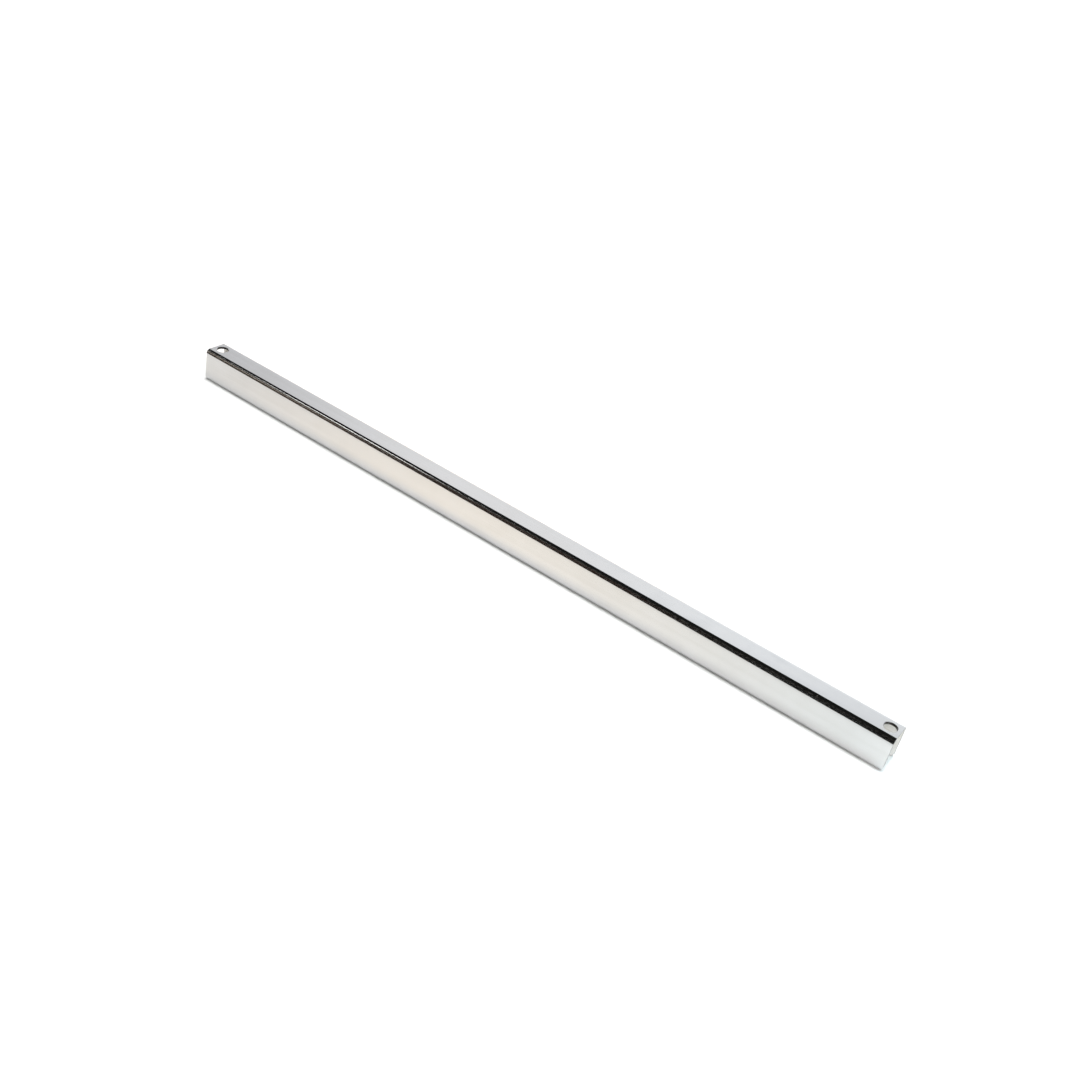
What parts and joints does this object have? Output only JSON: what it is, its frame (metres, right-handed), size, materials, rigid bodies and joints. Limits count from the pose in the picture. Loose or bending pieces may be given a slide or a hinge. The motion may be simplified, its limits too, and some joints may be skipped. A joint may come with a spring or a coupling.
{
  "type": "magnetic knife rack",
  "caption": "Slim wall bar of folded polished steel, open at the back, with a screw hole near each end and a row of magnets between steel strips inside.",
  "frame": {"origin": "middle of the open side, on the wall or table that it rests against", "axes": "+X along the bar, +Z out of the closed face that the knives hang on, -Y the front wall"},
  "size_m": [0.457, 0.0152, 0.019],
  "materials": {
    "polished_steel": "mirror polished stainless steel sheet",
    "pole_steel": "zinc plated mild steel flat",
    "ferrite": "sintered ceramic, dull",
    "spacer_plastic": "natural moulded plastic",
    "tape_foam": "grey closed-cell foam",
    "backing_plastic": "black extruded plastic"
  },
  "bodies": {
    "root": {"channel_cover": "polished_steel", "pole_strip_front": "pole_steel", "pole_strip_rear": "pole_steel", "magnet_01": "ferrite", "magnet_02": "ferrite", "magnet_03": "ferrite", "magnet_04": "ferrite", "magnet_05": "ferrite", "magnet_06": "ferrite", "magnet_07": "ferrite", "magnet_08": "ferrite", "magnet_09": "ferrite", "magnet_10": "ferrite", "spacer_01": "spacer_plastic", "spacer_02": "spacer_plastic", "spacer_03": "spacer_plastic", "spacer_04": "spacer_plastic", "spacer_05": "spacer_plastic", "spacer_06": "spacer_plastic", "spacer_07": "spacer_plastic", "spacer_08": "spacer_plastic", "spacer_09": "spacer_plastic", "end_block_left": "spacer_plastic", "end_block_right": "spacer_plastic", "bonding_tape_front": "tape_foam", "bonding_tape_rear": "tape_foam", "backing_strip": "backing_plastic"}
  },
  "joints": []
}
